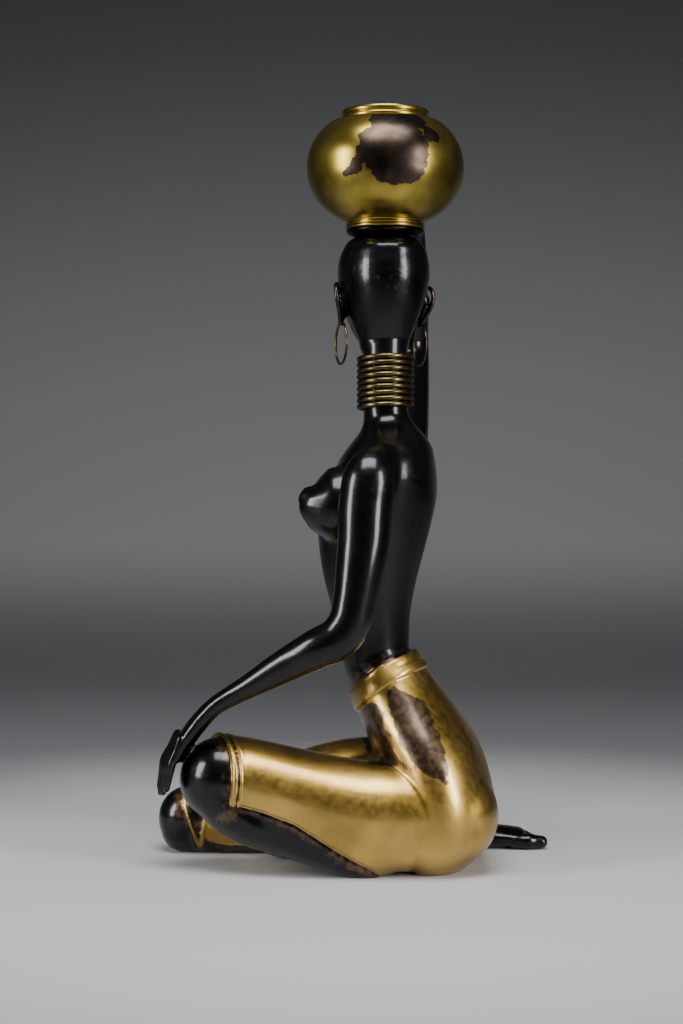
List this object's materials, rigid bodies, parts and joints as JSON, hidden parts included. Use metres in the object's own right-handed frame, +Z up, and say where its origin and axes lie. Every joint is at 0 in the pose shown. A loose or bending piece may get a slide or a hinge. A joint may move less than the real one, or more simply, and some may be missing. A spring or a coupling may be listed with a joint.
{
  "type": "kneeling figure sculpture",
  "caption": "Cast bronze statue of a kneeling woman who steadies a round hollow jar on her head with one raised hand; stands on its flat underside.",
  "frame": {"origin": "on the flat underside, under the fold of the lap", "axes": "+Z up through the jar, -X the way the knees point, -Y her left side"},
  "size_m": [0.4234, 0.3365, 0.7871],
  "materials": {
    "patinated_bronze": "dark brown-black waxed patina, with a polished golden skirt",
    "pad_bronze": "dark patina",
    "jar_brass": "polished, with a dark patina patch",
    "coil_brass": "dull wire",
    "hoop_brass": "dull wire"
  },
  "bodies": {
    "root": {"kneeling_woman": "patinated_bronze", "head_pad": "pad_bronze", "water_jar": "jar_brass", "neck_coil": "coil_brass", "left_ear_hoop": "hoop_brass", "right_ear_hoop": "hoop_brass"}
  },
  "joints": []
}
